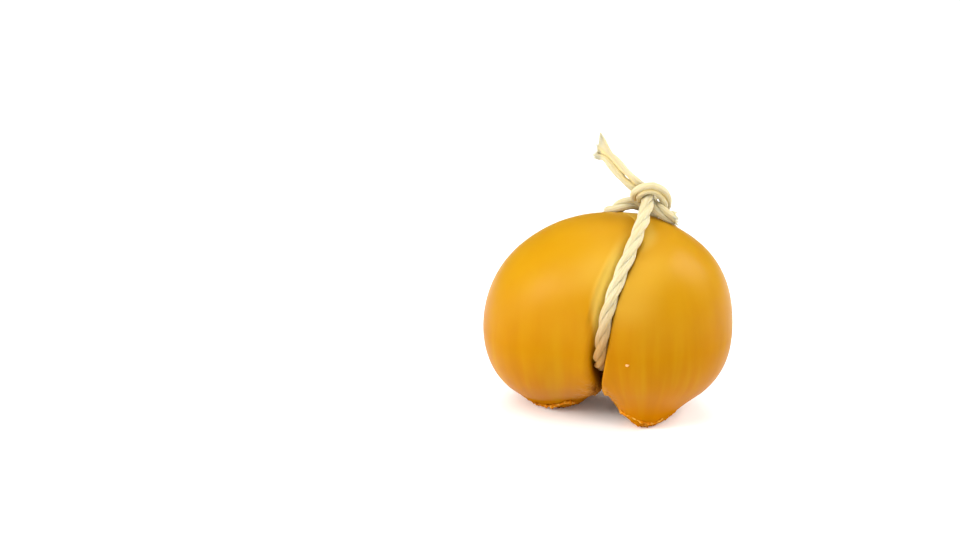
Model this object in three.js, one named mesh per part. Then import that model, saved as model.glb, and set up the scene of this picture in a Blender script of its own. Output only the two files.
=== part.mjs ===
// Smoked scamorza: one ball of stretched curd slung over a three-ply cord, which has drawn it into two lobes.
// The two short legs under the lobes end where the curd was torn off, and the cheese stands on them.
// The cord runs under the bridge between them, up the front and the back in a groove, and is knotted on top.
// Millimetres, +Z up: X runs across the two lobes, -Y is the front, and the floor is z = 0.
import * as THREE from "three";

// Curd: rounded masses that run into each other, each as its centre and its half sizes along X, Y and Z.
const DOME = { centre: [2.8, -0.5, 45.5], half: [43, 33.2, 31.6] };
const LEFT_LOBE = { centre: [-22.5, 2.5, 29.6], half: [24.5, 30, 26.4] };
const RIGHT_LOBE = { centre: [15.6, 0, 27.4], half: [29.7, 30, 24] };
const LEFT_HEEL = { centre: [-18.8, 8.5, 9.4], half: [15, 14, 11.2] };
const RIGHT_HEEL = { centre: [15.6, -8, 8.3], half: [9.7, 12, 10] };
const LOBE_BLEND = 14;
const HEEL_BLEND = 10;

// Cord: three plies in a right-handed twist, drawn thinner in the knot.
const CORD_RADIUS = 2.55;
const KNOT_RADIUS = 2.15;
const PLY_SHARE = 0.49;
const TWIST_PITCH = 27;

// Its long end has come untwisted, with one ply on top, and is splayed where it was cut on the slant.
const UNTWISTED = 24;
const FIRST_PLY = Math.PI / 2;
const SPLAY_LENGTH = 9;
const SPLAY_WIDE = 1.55;
const SPLAY_THIN = 0.8;
const CUT_SLANT = 0.6;

// Seat of the cord, round an axis along X: angle up from the front in degrees, sideways place, radius.
const AXIS_Y = -0.5;
const AXIS_Z = 42;
const SEAT = [
  [-90, 1.5, 19], [-60, 1.4, 21.3], [-40, 1.6, 25.3], [-20, 2.7, 30.7], [0, 4.4, 32.9], [14, 5.9, 33.4],
  [27, 7.8, 34], [40, 10.1, 34.7], [54, 12.6, 35.5], [71, 14.5, 37.2], [90, 10, 40], [107, 2.7, 37.6],
  [116, -0.9, 35.7], [128, -3.8, 35.4], [150, -4.5, 35], [170, -1.5, 34.2], [190, 0.5, 32.6], [210, 1.5, 29.2],
  [240, 2, 22.2],
];
const SEAT_START = 118;
const SEAT_END = 414;
const SEAT_STEP = 14.8;

// The rest of the cord's route, from its long end through the knot, and from the front strand to its short end.
const LONG_END = [[-3.6, 3.4, 103.1], [-1.2, 3.3, 100.3], [1.4, 3.3, 97.1], [4.6, 2.8, 93.7], [8, 1.9, 90.7]];
const KNOT_ARCH = [
  [11.4, 0.8, 88.7], [14.5, 0.8, 88.4], [17.3, 1.6, 88.2], [19.7, 3.8, 86.2], [20.8, 7.1, 82.6],
  [20.2, 10.2, 78.7], [17.5, 12.2, 75.8], [13.9, 12.7, 75.9], [11, 11.9, 77.9], [8.2, 11, 79.4],
];
const BACK_STRAND = [[5.2, 10.2, 78.7], [1.7, 11.1, 76.6]];
const FRONT_STRAND = [[14.6, -11.6, 77.2], [15, -5.2, 79.6], [15.1, 0.6, 82.4]];
const KNOT_FOLD = [
  [15.2, 5.6, 85.2], [15, 9.4, 86], [15, 12.9, 85.8], [15.1, 15.5, 84], [15.2, 15.4, 81.7], [15.4, 12.6, 80.6],
  [15.8, 8.4, 80.2], [18.1, 4.6, 79.3],
];
const SHORT_END = [[21.3, 3.6, 77.7], [24.9, 3.9, 76]];

// Groove round the seat, with rounded lips and walls that flare, deeper where the cord turns under the bridge.
// Beside it on the left lies a shallow band, which the cord pressed before it slipped.
// The ranges of height are the sine of the angle up the groove.
const SEAT_RADIUS = 3.1;
const SEAT_DEEPER = 1.3;
const LIP_BLEND = 3.6;
const WALLS_OPEN = [-0.75, 0.1];
const LEFT_FLARE = [0, 0.1];
const RIGHT_FLARE = [-0.2, 0.05];
const BAND_DEPTH = 0.8;
const BAND_EDGE = [-7.4, -5.2];
const BAND_STARTS = [-0.1, 0.25];
const BAND_ENDS = [0.9, 0.6];

// Notch between the legs: a wedge with its ridge along Y, each wall leaning away from upright.
const NOTCH_X = 2.5;
const NOTCH_Z = 15;
const NOTCH_LEFT = THREE.MathUtils.degToRad(25);
const NOTCH_RIGHT = THREE.MathUtils.degToRad(28);
const RIDGE_BLEND = 4;
const LEG_BLEND = 6;

// Torn faces: waves with a height, a direction in radians per millimetre and a phase. They fade up the legs.
const TORN_WAVES = [
  { height: 0.35, run: [0.9, -0.5, 0.7], phase: 0.3 },
  { height: 0.28, run: [-1.5, 0.8, 1.1], phase: 1.9 },
  { height: 0.22, run: [0.7, 1.9, -1.6], phase: 4.1 },
  { height: 0.16, run: [2.6, -1.4, 2.2], phase: 2.6 },
];
const TORN_FADE = [7, 0];

// Colours and roughness.
const CURD = { color: 0xdb9a1e, roughness: 0.42 };
const TWINE = { color: 0xeee0b0, roughness: 0.8 };

// Surface grid: steps round the axis, steps from each lobe's middle to the seat, and the lobes' middles.
const ROUND_STEPS = 66;
const FAN_STEPS = 26;
const FAN_CROWDING = 1.3;
const LEFT_FAN_X = -18;
const RIGHT_FAN_X = 20;
const REACH = 80;
const RAY_STEPS = 90;
const RAY_HALVINGS = 22;
const FLOOR_SNAP = 0.001;
const NEAR_ZERO = 1e-6;

// Cord grid: step along the cord, points round it, and how often and how far a step is eased to its neighbours.
const ROUTE_DIVISIONS = 4000;
const CORD_STEP = 1.9;
const CORD_SIDES = 15;
const EASING_PASSES = 6;
const EASING_SHARE = 0.1;

// Signed distance to an ellipsoid, near enough within a lobe's size.
function massAt(point, mass) {
  let scaled = 0;
  let slope = 0;
  for (let k = 0; k < 3; k++) {
    const share = (point[k] - mass.centre[k]) / mass.half[k];
    scaled += share * share;
    slope += (share / mass.half[k]) ** 2;
  }
  const size = Math.sqrt(scaled);
  return (size * (size - 1)) / Math.max(Math.sqrt(slope), NEAR_ZERO);
}

// The smaller of two values, rounded off where they come within the blend of each other.
function softMin(a, b, blend) {
  const near = Math.max(blend - Math.abs(a - b), 0) / blend;
  return Math.min(a, b) - (near * near * blend) / 4;
}

function softMax(a, b, blend) {
  return -softMin(-a, -b, blend);
}

function ease([from, to], value) {
  const share = THREE.MathUtils.clamp((value - from) / (to - from), 0, 1);
  return share * share * (3 - 2 * share);
}

// A seat column at any angle: a smooth closed curve through the rows.
function seatAt(degrees, column) {
  const count = SEAT.length;
  const angle = THREE.MathUtils.euclideanModulo(degrees + 90, 360) - 90;
  let row = count - 1;
  while (SEAT[row][0] > angle) row--;
  const pick = (k) => {
    const turns = Math.floor(k / count);
    const entry = SEAT[k - turns * count];
    return [entry[0] + 360 * turns, entry[column]];
  };
  const [a0, v0] = pick(row - 1);
  const [a1, v1] = pick(row);
  const [a2, v2] = pick(row + 1);
  const [a3, v3] = pick(row + 2);
  const span = a2 - a1;
  const s = (angle - a1) / span;
  const slope1 = (span * (v2 - v0)) / (a2 - a0);
  const slope2 = (span * (v3 - v1)) / (a3 - a1);
  return (2 * s ** 3 - 3 * s ** 2 + 1) * v1 + (s ** 3 - 2 * s ** 2 + s) * slope1
    + (3 * s ** 2 - 2 * s ** 3) * v2 + (s ** 3 - s ** 2) * slope2;
}

function tornAt([x, y, z]) {
  let sum = 0;
  for (const { height, run, phase } of TORN_WAVES) {
    sum += height * Math.sin(run[0] * x + run[1] * y + run[2] * z + phase);
  }
  return sum;
}

// The whole ball before the cord bites into it, ragged low down where the legs were torn off.
function ballAt(point) {
  let depth = softMin(massAt(point, DOME), massAt(point, LEFT_LOBE), LOBE_BLEND);
  depth = softMin(depth, massAt(point, RIGHT_LOBE), LOBE_BLEND);
  depth = softMin(depth, massAt(point, LEFT_HEEL), HEEL_BLEND);
  depth = softMin(depth, massAt(point, RIGHT_HEEL), HEEL_BLEND);
  return depth + tornAt(point) * ease(TORN_FADE, point[2]);
}

// The cord's groove, negative inside it, and how far the band beside it is pressed in.
function grooveAt(point) {
  const forward = AXIS_Y - point[1];
  const up = point[2] - AXIS_Z;
  const angle = THREE.MathUtils.radToDeg(Math.atan2(up, forward));
  const distance = Math.hypot(forward, up);
  const height = up / Math.max(distance, NEAR_ZERO);
  const out = distance - seatAt(angle, 2);
  const aside = point[0] - seatAt(angle, 1);
  const [tight, wide] = aside < 0 ? LEFT_FLARE : RIGHT_FLARE;
  const opened = ease(WALLS_OPEN, height);
  const flare = THREE.MathUtils.lerp(tight, wide, opened);
  const deep = Math.min(out, 0) / THREE.MathUtils.lerp(SEAT_DEEPER, 1, opened);
  const seat = Math.hypot(aside, deep) - SEAT_RADIUS - flare * Math.max(out, 0);
  const band = aside < 0 ? ease(BAND_EDGE, aside) * ease(BAND_STARTS, height) * ease(BAND_ENDS, height) : 0;
  return { seat, pressed: BAND_DEPTH * band };
}

// The notch between the legs, negative inside it, with torn walls.
function notchAt(point) {
  const x = point[0] - NOTCH_X;
  const z = point[2] - NOTCH_Z;
  const leftWall = z * Math.sin(NOTCH_LEFT) - x * Math.cos(NOTCH_LEFT);
  const rightWall = z * Math.sin(NOTCH_RIGHT) + x * Math.cos(NOTCH_RIGHT);
  return softMax(leftWall, rightWall, RIDGE_BLEND) + tornAt(point);
}

function cheeseAt(point) {
  const { seat, pressed } = grooveAt(point);
  const legs = softMax(ballAt(point) + pressed, -notchAt(point), LEG_BLEND);
  return Math.max(softMax(legs, -seat, LIP_BLEND), -point[2]);
}

// The point where a ray from inside the cheese first comes out, found by stepping and then by halving.
function surfacePoint(start, direction, reach) {
  const at = (r) => start.map((value, k) => value + r * direction[k]);
  let inside = 0;
  let outside = reach;
  for (let k = 1; k <= RAY_STEPS; k++) {
    const r = (reach * k) / RAY_STEPS;
    if (cheeseAt(at(r)) > 0) {
      outside = r;
      break;
    }
    inside = r;
  }
  for (let k = 0; k < RAY_HALVINGS; k++) {
    const middle = (inside + outside) / 2;
    if (cheeseAt(at(middle)) > 0) outside = middle;
    else inside = middle;
  }
  const point = at(outside);
  point[2] = point[2] < FLOOR_SNAP ? 0 : point[2];
  return point;
}

// One lobe's rows of points, from its pole to the row next to the seat: at each angle round the axis a fan of
// rays opens from the lobe's middle, and crowds towards the seat.
function lobeRows(middleX, side, seatLine) {
  const rows = [];
  for (let step = 1; step < FAN_STEPS; step++) {
    const share = 1 - (1 - step / FAN_STEPS) ** FAN_CROWDING;
    rows.push(seatLine.map(({ angle, radius, x }) => {
      const swing = share * Math.atan2(radius, side * (x - middleX));
      const ahead = side * Math.cos(swing);
      const direction = [ahead, -Math.sin(swing) * Math.cos(angle), Math.sin(swing) * Math.sin(angle)];
      const inward = -side * ahead;
      const reach = inward > NEAR_ZERO ? Math.min(REACH, Math.abs(x - middleX) / inward) : REACH;
      return surfacePoint([middleX, AXIS_Y, AXIS_Z], direction, reach);
    }));
  }
  return rows;
}

// A closed skin over rows of points between two poles.
function skinGeometry(firstPole, rows, lastPole) {
  const around = rows[0].length;
  const points = [firstPole, ...rows.flat(), lastPole];
  const last = points.length - 1;
  const index = [];
  for (let j = 0; j < around; j++) {
    const next = (j + 1) % around;
    index.push(0, 1 + j, 1 + next);
    for (let i = 0; i + 1 < rows.length; i++) {
      const a = 1 + i * around;
      const b = a + around;
      index.push(a + j, b + j, b + next, a + j, b + next, a + next);
    }
    const end = 1 + (rows.length - 1) * around;
    index.push(end + j, last, end + next);
  }
  const geometry = new THREE.BufferGeometry();
  geometry.setAttribute("position", new THREE.Float32BufferAttribute(points.flat(), 3));
  geometry.setIndex(index);
  geometry.computeVertexNormals();
  return geometry;
}

function cheeseGeometry() {
  const seatLine = [];
  for (let j = 0; j < ROUND_STEPS; j++) {
    const angle = (2 * Math.PI * j) / ROUND_STEPS - Math.PI / 2;
    const x = seatAt(THREE.MathUtils.radToDeg(angle), 1);
    const point = surfacePoint([x, AXIS_Y, AXIS_Z], [0, -Math.cos(angle), Math.sin(angle)], REACH);
    seatLine.push({ angle, x, point, radius: Math.hypot(point[1] - AXIS_Y, point[2] - AXIS_Z) });
  }
  const left = lobeRows(LEFT_FAN_X, -1, seatLine);
  const right = lobeRows(RIGHT_FAN_X, 1, seatLine).reverse();
  const rows = [...left, seatLine.map(({ point }) => point), ...right];
  const leftPole = surfacePoint([LEFT_FAN_X, AXIS_Y, AXIS_Z], [-1, 0, 0], REACH);
  const rightPole = surfacePoint([RIGHT_FAN_X, AXIS_Y, AXIS_Z], [1, 0, 0], REACH);
  return skinGeometry(leftPole, rows, rightPole);
}

// The cord's middle line at even steps, eased so that no bend is tighter than the cord allows.
function cordStations() {
  const seat = [];
  for (let degrees = SEAT_START; degrees < SEAT_END + 1; degrees += SEAT_STEP) {
    const angle = THREE.MathUtils.degToRad(degrees);
    const radius = seatAt(degrees, 2);
    seat.push([seatAt(degrees, 1), AXIS_Y - radius * Math.cos(angle), AXIS_Z + radius * Math.sin(angle)]);
  }
  const stretches = [
    [LONG_END, CORD_RADIUS], [KNOT_ARCH, KNOT_RADIUS], [BACK_STRAND, CORD_RADIUS], [seat, CORD_RADIUS],
    [FRONT_STRAND, CORD_RADIUS], [KNOT_FOLD, KNOT_RADIUS], [SHORT_END, CORD_RADIUS],
  ];
  const route = stretches.flatMap(([points]) => points);
  const radii = stretches.flatMap(([points, radius]) => points.map(() => radius));
  const curve = new THREE.CatmullRomCurve3(route.map((p) => new THREE.Vector3(...p)), false, "catmullrom", 0.5);
  curve.arcLengthDivisions = ROUTE_DIVISIONS;
  const count = Math.round(curve.getLength() / CORD_STEP);
  const stations = [];
  for (let i = 0; i <= count; i++) {
    const along = curve.getUtoTmapping(i / count);
    const place = along * (route.length - 1);
    const k = Math.min(Math.floor(place), route.length - 2);
    const radius = THREE.MathUtils.lerp(radii[k], radii[k + 1], place - k);
    stations.push({ middle: curve.getPoint(along), radius });
  }
  for (let pass = 0; pass < EASING_PASSES; pass++) {
    const before = stations.map(({ middle }) => middle.clone());
    for (let i = 1; i < count; i++) {
      const average = before[i - 1].clone().add(before[i + 1]).multiplyScalar(0.5);
      stations[i].middle.copy(before[i]).lerp(average, EASING_SHARE);
    }
  }
  return stations;
}

// Outline of three round plies that touch: the distance from the cord's middle at an angle from a ply's middle.
function plyOutline(angle, radius) {
  const plyRadius = PLY_SHARE * radius;
  const offset = radius - plyRadius;
  const third = (2 * Math.PI) / 3;
  const fromPly = THREE.MathUtils.euclideanModulo(angle + third / 2, third) - third / 2;
  const aside = offset * Math.sin(fromPly);
  return offset * Math.cos(fromPly) + Math.sqrt(Math.max(plyRadius ** 2 - aside ** 2, 0));
}

// The three-lobed section carried along the middle line and turned with the twist, in a frame without roll.
function cordGeometry() {
  const stations = cordStations();
  const last = stations.length - 1;
  const ahead = stations.map((_, i) => {
    const from = stations[Math.max(i - 1, 0)].middle;
    return stations[Math.min(i + 1, last)].middle.clone().sub(from).normalize();
  });
  const across = new THREE.Vector3(0, 1, 0);
  const rows = stations.map(({ middle, radius }, i) => {
    across.addScaledVector(ahead[i], -across.dot(ahead[i])).normalize();
    const over = ahead[i].clone().cross(across);
    const run = i * CORD_STEP;
    const twist = FIRST_PLY + (2 * Math.PI * Math.max(run - UNTWISTED, 0)) / TWIST_PITCH;
    const splay = ease([SPLAY_LENGTH, 0], run);
    const wide = THREE.MathUtils.lerp(1, SPLAY_WIDE, splay);
    const thin = THREE.MathUtils.lerp(1, SPLAY_THIN, splay);
    const ring = [];
    for (let j = 0; j < CORD_SIDES; j++) {
      const angle = (2 * Math.PI * j) / CORD_SIDES;
      const r = plyOutline(angle - twist, radius);
      const rise = wide * r * Math.sin(angle);
      const spoke = across.clone().multiplyScalar(thin * r * Math.cos(angle)).addScaledVector(over, rise);
      ring.push(spoke.addScaledVector(ahead[i], -CUT_SLANT * splay * rise).add(middle).toArray());
    }
    return ring.reverse();
  });
  return skinGeometry(stations[0].middle.toArray(), rows, stations[last].middle.toArray());
}

function subPart(name, geometry, finish) {
  const mesh = new THREE.Mesh(geometry, new THREE.MeshStandardMaterial({ ...finish, metalness: 0 }));
  mesh.name = name;
  return mesh;
}

const scamorza = new THREE.Group();
scamorza.add(subPart("cheese", cheeseGeometry(), CURD));
scamorza.add(subPart("cord", cordGeometry(), TWINE));

export default scamorza;
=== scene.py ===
"""Smoked scamorza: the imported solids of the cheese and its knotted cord, dressed for a studio picture."""

import bpy
import numpy as np
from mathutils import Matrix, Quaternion, Vector


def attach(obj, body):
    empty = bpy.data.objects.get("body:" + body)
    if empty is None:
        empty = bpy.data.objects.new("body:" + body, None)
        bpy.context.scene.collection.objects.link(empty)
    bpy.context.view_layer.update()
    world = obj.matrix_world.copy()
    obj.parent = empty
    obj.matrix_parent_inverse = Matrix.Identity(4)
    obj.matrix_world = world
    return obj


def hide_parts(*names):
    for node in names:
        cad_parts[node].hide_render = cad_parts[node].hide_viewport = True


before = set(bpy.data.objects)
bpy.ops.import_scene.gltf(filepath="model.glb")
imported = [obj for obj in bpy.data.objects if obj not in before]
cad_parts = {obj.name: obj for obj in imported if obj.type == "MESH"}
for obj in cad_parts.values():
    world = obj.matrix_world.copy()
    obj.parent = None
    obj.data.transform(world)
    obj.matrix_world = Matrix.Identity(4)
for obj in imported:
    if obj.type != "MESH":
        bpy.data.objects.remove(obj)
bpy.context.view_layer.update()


# Cheese: one ball of stretched curd, shaped by hand, slung over a cord and smoked to a satin amber skin.
# The cord has drawn it into two lobes, and the short legs under them end where the curd was torn off.
# Sizes are in millimetres: X across the lobes, -Y the front, and the floor at z = 0.
MM = 0.001
# Rounded masses that run into each other: the middle and the half sizes of each, and how widely they blend.
DOME = ((2.8, -0.5, 45.5), (43.0, 33.2, 31.6))
LEFT_LOBE = ((-22.5, 2.5, 29.6), (24.5, 30.0, 26.4))
RIGHT_LOBE = ((15.6, 0.0, 27.4), (29.7, 30.0, 24.0))
LEFT_HEEL = ((-18.8, 8.5, 9.4), (15.0, 14.0, 11.2))
RIGHT_HEEL = ((15.6, -8.0, 8.3), (9.7, 12.0, 10.0))
LOBE_BLEND = 14.0
HEEL_BLEND = 10.0
# Seat of the cord, round an axis along X: angle up from the front in degrees, sideways place, radius.
AXIS_Y = -0.5
AXIS_Z = 42.0
SEAT = np.array([
    (-90, 1.5, 19.0), (-60, 1.4, 21.3), (-40, 1.6, 25.3), (-20, 2.7, 30.7), (0, 4.4, 32.9), (14, 5.9, 33.4),
    (27, 7.8, 34.0), (40, 10.1, 34.7), (54, 12.6, 35.5), (71, 14.5, 37.2), (90, 10.0, 40.0),
    (107, 2.3, 37.0), (116, -1.8, 34.8), (128, -3.8, 35.4), (150, -4.5, 35.0), (170, -1.5, 34.2),
    (190, 0.5, 32.6), (210, 1.5, 29.2), (240, 2.0, 22.2),
])
# Groove round the seat, deeper under the bridge between the legs and closer to the cord on the right.
# A range of height is in sines of the angle up the groove, -1 under the bridge and 1 on top. The pairs of
# flares and lip blends hold below and above where the walls open. A negative flare leans in on the cord.
SEAT_RADIUS = 3.1
SEAT_DEEPER = 1.3
RIGHT_CLOSER = 0.82
WALLS_OPEN = (-0.75, 0.1)
LEFT_FLARE = (-0.3, 0.1)
RIGHT_FLARE = (-0.2, -0.15)
LEFT_LIP_BLEND = (5.0, 3.6)
RIGHT_LIP_BLEND = 1.4
# On top, where the cord is lifted off, the groove rises out of the curd by this much.
LIFTED = 3.0
LIFTED_FROM = (0.9, 0.98)
# Beside the groove on the left lies a shallow band, which the cord pressed before it slipped.
PRESSED_DEPTH = 0.8
PRESSED_EDGE = (-7.4, -5.2)
PRESSED_STARTS = (-0.1, 0.25)
PRESSED_ENDS = (0.9, 0.6)
# On the right the curd swells up beside the groove: height, distance aside, half width, and where it fades.
SWELL = 1.2
SWELL_ASIDE = 13.0
SWELL_HALF = 9.0
SWELL_STARTS = (-0.4, 0.2)
SWELL_ENDS_Y = (16.0, 2.0)
# Notch between the legs: a wedge with its ridge along Y, each wall leaning away from upright. The left
# leg is rounded off more widely than the right one, changing over the range of X.
NOTCH_X = 2.5
NOTCH_Z = 15.0
NOTCH_LEFT = np.radians(25.0)
NOTCH_RIGHT = np.radians(28.0)
RIDGE_BLEND = 4.0
LEG_BLEND = (11.0, 6.0)
LEG_BLEND_X = (-5.0, 4.5)
# Waves on the torn faces: height, direction in radians per millimetre, phase. The last are fine shreds.
TORN_WAVES = np.array([
    (0.35, 0.9, -0.5, 0.7, 0.3), (0.28, -1.5, 0.8, 1.1, 1.9), (0.22, 0.7, 1.9, -1.6, 4.1),
    (0.16, 2.6, -1.4, 2.2, 2.6), (0.16, 3.4, 1.2, -1.9, 0.8), (0.13, -2.2, 3.3, 2.4, 5.2),
    (0.10, 4.3, -2.6, 3.1, 3.3),
])
TORN_FADE = (7.0, 0.0)
# Shreds along the rims of the torn faces, as waves in the same form that are folded up where they cross
# zero. The mean of a folded wave is taken off, so that the shreds stand out as much as they dip.
RIM_SHREDS = np.array([
    (0.7, 0.75, 0.5, 0.35, 0.4), (0.5, -0.9, 1.3, 0.4, 2.0), (0.35, 2.1, -1.1, 0.9, 5.0),
])
RIM_REACH = 5.0
FOLDED_MEAN = 0.64
# Fine grid: steps round the axis, closer under the legs, and steps from each lobe's middle to the seat.
ROUND_STEPS = 300
UNDER_CROWDING = 0.35
FAN_STEPS = 150
FAN_CROWDING = 1.4
LEFT_FAN_X = -18.0
RIGHT_FAN_X = 20.0
REACH = 80.0
RAY_STEPS = 90
RAY_HALVINGS = 20


def mass(points, centre, half):
    """Signed distance to an ellipsoid, near enough: k (k - 1) / g, where k is the length of the offset
    over the half sizes and g the length of the offset over their squares."""
    offset = points - np.array(centre)
    k = np.linalg.norm(offset / np.array(half), axis=-1)
    g = np.linalg.norm(offset / np.square(half), axis=-1)
    return k * (k - 1) / np.maximum(g, 1e-9)


def soft_min(a, b, blend):
    """The smaller of two values, rounded off by a parabola where they differ by less than the blend."""
    near = np.maximum(blend - np.abs(a - b), 0) / blend
    return np.minimum(a, b) - near * near * blend / 4


def ease(span, value):
    """0 before the span and 1 after it, with a smooth cubic step between."""
    share = np.clip((value - span[0]) / (span[1] - span[0]), 0, 1)
    return share * share * (3 - 2 * share)


def between(pair, share):
    """The value that lies a share of the way from the first of a pair to the second."""
    return pair[0] + (pair[1] - pair[0]) * share


def seat_at(degrees, column):
    """A column of the seat at any angle: a closed curve of cubics through the rows, each with the slopes
    that its neighbours give."""
    angles = np.concatenate([SEAT[-2:, 0] - 360, SEAT[:, 0], SEAT[:3, 0] + 360])
    values = np.concatenate([SEAT[-2:, column], SEAT[:, column], SEAT[:3, column]])
    slopes = (values[2:] - values[:-2]) / (angles[2:] - angles[:-2])
    turned = (degrees + 90.0) % 360.0 - 90.0
    row = np.searchsorted(angles, turned, side="right") - 1
    span = angles[row + 1] - angles[row]
    s = (turned - angles[row]) / span
    rise = 3 * s**2 - 2 * s**3
    return ((1 - rise) * values[row] + rise * values[row + 1]
            + span * (s - 2 * s**2 + s**3) * slopes[row - 1] + span * (s**3 - s**2) * slopes[row])


def torn_waves(points):
    """Unevenness of a torn face: a sum of sine waves that run in different directions."""
    return sum(height * np.sin(points @ np.array(run) + phase) for height, *run, phase in TORN_WAVES)


def ball(points):
    """The whole ball before the cord bites into it, negative inside: the masses run into each other,
    ragged low down on the legs."""
    depth = soft_min(mass(points, *DOME), mass(points, *LEFT_LOBE), LOBE_BLEND)
    depth = soft_min(depth, mass(points, *RIGHT_LOBE), LOBE_BLEND)
    depth = soft_min(depth, mass(points, *LEFT_HEEL), HEEL_BLEND)
    depth = soft_min(depth, mass(points, *RIGHT_HEEL), HEEL_BLEND)
    return depth + torn_waves(points) * ease(TORN_FADE, points[..., 2])


def beside_cord(points):
    """How far each point lies aside of the cord's middle and outside it, and the height up the groove,
    which is the sine of the angle round the axis."""
    forward = AXIS_Y - points[..., 1]
    up = points[..., 2] - AXIS_Z
    degrees = np.degrees(np.arctan2(up, forward))
    distance = np.hypot(forward, up)
    height = up / np.maximum(distance, 1e-6)
    return points[..., 0] - seat_at(degrees, 1), distance - seat_at(degrees, 2), height


def groove(points):
    """The cord's groove, negative inside it: a round seat, deepened under the bridge, whose walls lean by
    their flares. It fades out on top, where the cord is lifted off."""
    aside, out, height = beside_cord(points)
    opened = ease(WALLS_OPEN, height)
    flare = np.where(aside < 0, between(LEFT_FLARE, opened), between(RIGHT_FLARE, opened))
    deep = np.minimum(out, 0) / between((SEAT_DEEPER, 1), opened)
    closer = np.where(aside < 0, 1, RIGHT_CLOSER)
    lifted = LIFTED * ease(LIFTED_FROM, height)
    return np.hypot(aside / closer, deep) - SEAT_RADIUS - flare * np.maximum(out, 0) + lifted


def pressed_band(points):
    """1 on the band that the cord has pressed beside the groove, fading to 0 round it."""
    aside, _, height = beside_cord(points)
    band = ease(PRESSED_EDGE, aside) * ease(PRESSED_STARTS, height) * ease(PRESSED_ENDS, height)
    return np.where(aside < 0, band, 0)


def swollen_lip(points):
    """1 along the curd that swells up right of the groove, falling off on both sides as a bell curve."""
    aside, _, height = beside_cord(points)
    bell = np.exp(-((aside - SWELL_ASIDE) / SWELL_HALF) ** 2)
    return np.where(aside > 0, bell, 0) * ease(SWELL_STARTS, height) * ease(SWELL_ENDS_Y, points[..., 1])


def under_skin(points):
    """How deep each point lies under the outer skin: the ball with its swollen lip and its pressed band."""
    return SWELL * swollen_lip(points) - PRESSED_DEPTH * pressed_band(points) - ball(points)


def notch(points):
    """The notch between the legs, negative inside it: two leaning, torn walls and a rounded ridge."""
    x = points[..., 0] - NOTCH_X
    z = points[..., 2] - NOTCH_Z
    left_wall = z * np.sin(NOTCH_LEFT) - x * np.cos(NOTCH_LEFT)
    right_wall = z * np.sin(NOTCH_RIGHT) + x * np.cos(NOTCH_RIGHT)
    return -soft_min(-left_wall, -right_wall, RIDGE_BLEND) + torn_waves(points)


def torn_rim(outer, inner):
    """1 on the rim where the outer skin meets a torn wall, fading to 0 beside it: the product of two
    slopes, one over the difference of the two depths and one over the depth in the wall."""
    meeting = np.maximum(1 - np.abs(outer - inner) / RIM_REACH, 0)
    return meeting * np.maximum(1 - np.abs(inner) / RIM_REACH, 0)


def rim_shreds(points):
    """Ridges of shredded curd: sine waves folded up where they cross zero, less their mean."""
    return sum(height * (np.abs(np.sin(points @ np.array(run) + phase)) - FOLDED_MEAN)
               for height, *run, phase in RIM_SHREDS)


def curd(points):
    """The cheese, negative inside it: what is under the outer skin and outside the notch, with legs
    rounded off and shredded on their rims, then without the groove, and cut level where it stands."""
    outer = under_skin(points)
    inner = notch(points)
    leg_blend = between(LEG_BLEND, ease(LEG_BLEND_X, points[..., 0]))
    legs = -soft_min(outer, inner, leg_blend) + torn_rim(outer, inner) * rim_shreds(points)
    aside, _, height = beside_cord(points)
    left_blend = between(LEFT_LIP_BLEND, ease(WALLS_OPEN, height))
    lip_blend = np.where(aside < 0, left_blend, RIGHT_LIP_BLEND)
    return np.maximum(-soft_min(-legs, groove(points), lip_blend), -points[..., 2])


def surface_distance(start, direction, reach):
    """How far each ray runs from inside the cheese until it first comes out, by steps, then by halving."""
    reach = np.broadcast_to(reach, direction.shape[:-1])
    inside = np.zeros(reach.shape)
    outside = np.array(reach)
    found = np.zeros(reach.shape, bool)
    for step in range(1, RAY_STEPS + 1):
        r = reach * step / RAY_STEPS
        out = ~found & (curd(start + r[..., None] * direction) > 0)
        outside[out] = r[out]
        found |= out
        inside = np.where(found, inside, r)
    for _ in range(RAY_HALVINGS):
        middle = (inside + outside) / 2
        out = curd(start + middle[..., None] * direction) > 0
        outside = np.where(out, middle, outside)
        inside = np.where(out, inside, middle)
    return (inside + outside) / 2


def cheese_rings():
    """Rings of points round the X axis from the left pole to the right one: at each angle a fan of rays
    opens from either lobe's middle, and the two fans meet on the bottom of the groove."""
    turn = 2 * np.pi * np.arange(ROUND_STEPS) / ROUND_STEPS
    angle = turn - UNDER_CROWDING * np.sin(turn) - np.pi / 2
    seat_x = seat_at(np.degrees(angle), 1)
    middle = np.stack([seat_x, np.full_like(angle, AXIS_Y), np.full_like(angle, AXIS_Z)], -1)
    spoke = np.stack([np.zeros_like(angle), -np.cos(angle), np.sin(angle)], -1)
    radius = surface_distance(middle, spoke, REACH)
    share = 1 - (1 - np.arange(FAN_STEPS)[:, None] / FAN_STEPS) ** FAN_CROWDING
    halves = []
    for fan_x, side in ((LEFT_FAN_X, -1.0), (RIGHT_FAN_X, 1.0)):
        swing = share * np.arctan2(radius, side * (seat_x - fan_x))
        ray = np.stack([side * np.cos(swing), -np.sin(swing) * np.cos(angle), np.sin(swing) * np.sin(angle)],
                       -1)
        inward = np.maximum(-np.cos(swing), 1e-6)
        reach = np.minimum(REACH, np.abs(seat_x - fan_x) / inward)
        centre = np.array([fan_x, AXIS_Y, AXIS_Z])
        halves.append(centre + surface_distance(centre, ray, reach)[..., None] * ray)
    return np.concatenate([halves[0], (middle + radius[:, None] * spoke)[None], halves[1][::-1]])


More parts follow.
